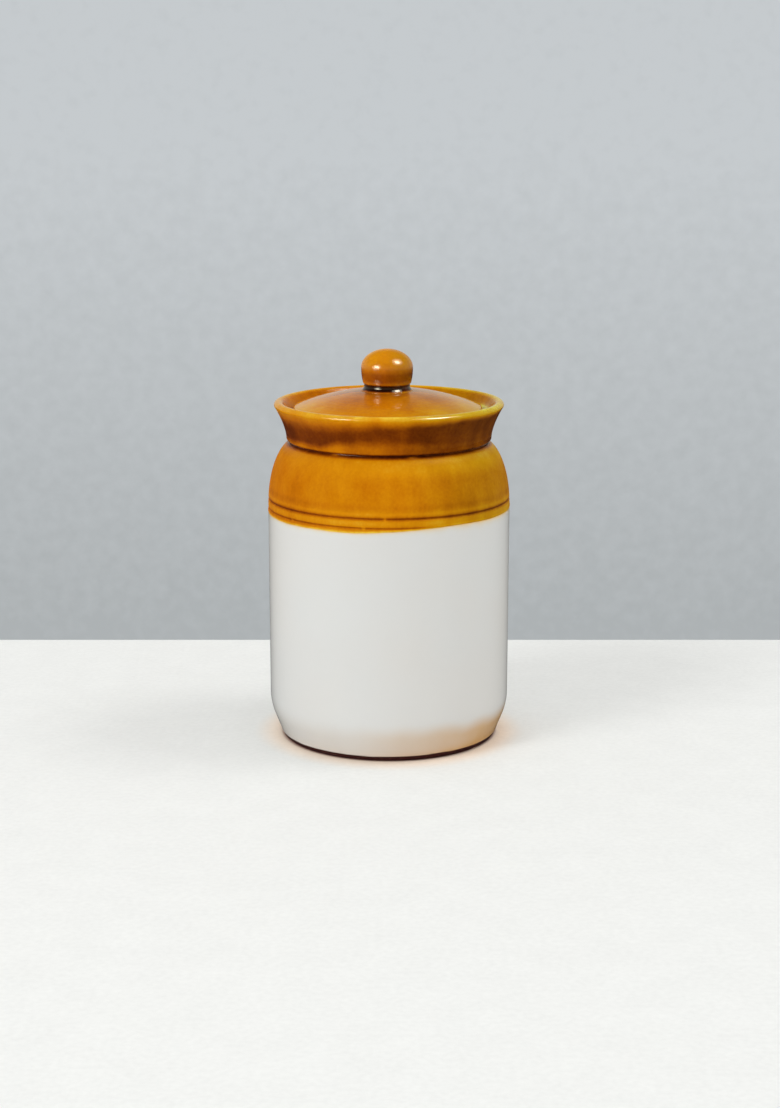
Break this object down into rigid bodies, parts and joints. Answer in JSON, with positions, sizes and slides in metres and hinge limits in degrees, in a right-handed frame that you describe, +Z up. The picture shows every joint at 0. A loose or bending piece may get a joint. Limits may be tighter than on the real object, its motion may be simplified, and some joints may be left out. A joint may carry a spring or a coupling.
{
  "type": "ceramic pickle jar",
  "caption": "Two-tone stoneware pickle jar, white below and amber above, with a flared collar and a loose domed lid that lifts off by its ball knob.",
  "frame": {"origin": "centre of the foot, on the surface that the jar stands on", "axes": "+Z up along the jar's turning axis; the amber glaze's edge is highest at +X and lowest at -X; the picture looks along +Y"},
  "size_m": [0.108, 0.108, 0.1751],
  "materials": {
    "white_glaze": "gloss",
    "amber_glaze": "gloss",
    "lid_underside": "gloss"
  },
  "bodies": {
    "jar": {"jar_body": "white_glaze", "jar_amber_glaze": "amber_glaze"},
    "lid": {"lid_body": "lid_underside", "lid_amber_glaze": "amber_glaze", "lid_knob": "amber_glaze"}
  },
  "joints": [
    {"name": "lid_lift", "type": "slide", "parent": "jar", "child": "lid", "axis": [0, 0, 1], "range_m": [0, 0.06]}
  ]
}
